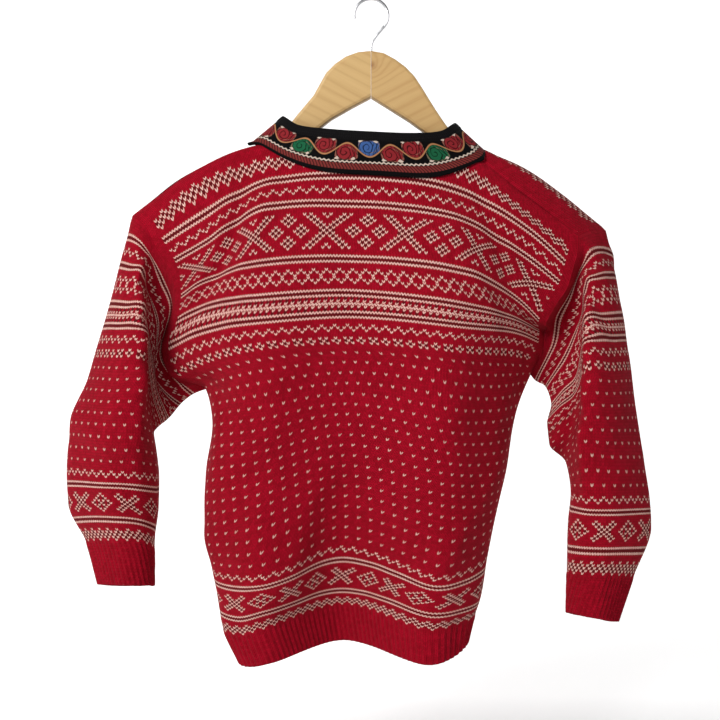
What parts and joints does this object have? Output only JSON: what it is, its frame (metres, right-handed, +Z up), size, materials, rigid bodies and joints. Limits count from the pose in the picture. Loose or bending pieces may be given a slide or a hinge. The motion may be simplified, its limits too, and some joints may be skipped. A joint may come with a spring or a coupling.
{
  "type": "nordic sweater on a wooden hanger",
  "caption": "Child's knitted nordic sweater with drop shoulders, ribbed hem and cuffs and a woven neck band, hanging on a flat wooden hanger with a wire hook.",
  "frame": {"origin": "underside of the hook's crown, where the hanger rests on its rail", "axes": "+Z up, -Y out of the sweater's back, +Y out of its front, +X to the right as seen from -Y"},
  "size_m": [0.5672, 0.1635, 0.6377],
  "materials": {
    "knit": "matte wool, stranded in red and cream",
    "ribbon": "woven ribbon with a scroll pattern",
    "binding": "matte black wool",
    "pine": "clear satin varnish",
    "steel": "plated wire"
  },
  "bodies": {
    "root": {"back": "knit", "front": "knit", "sleeve_left": "knit", "sleeve_right": "knit", "neck_band": "ribbon", "neck_binding": "binding", "hanger_arm_left": "pine", "hanger_arm_right": "pine", "hanger_hook": "steel"}
  },
  "joints": []
}
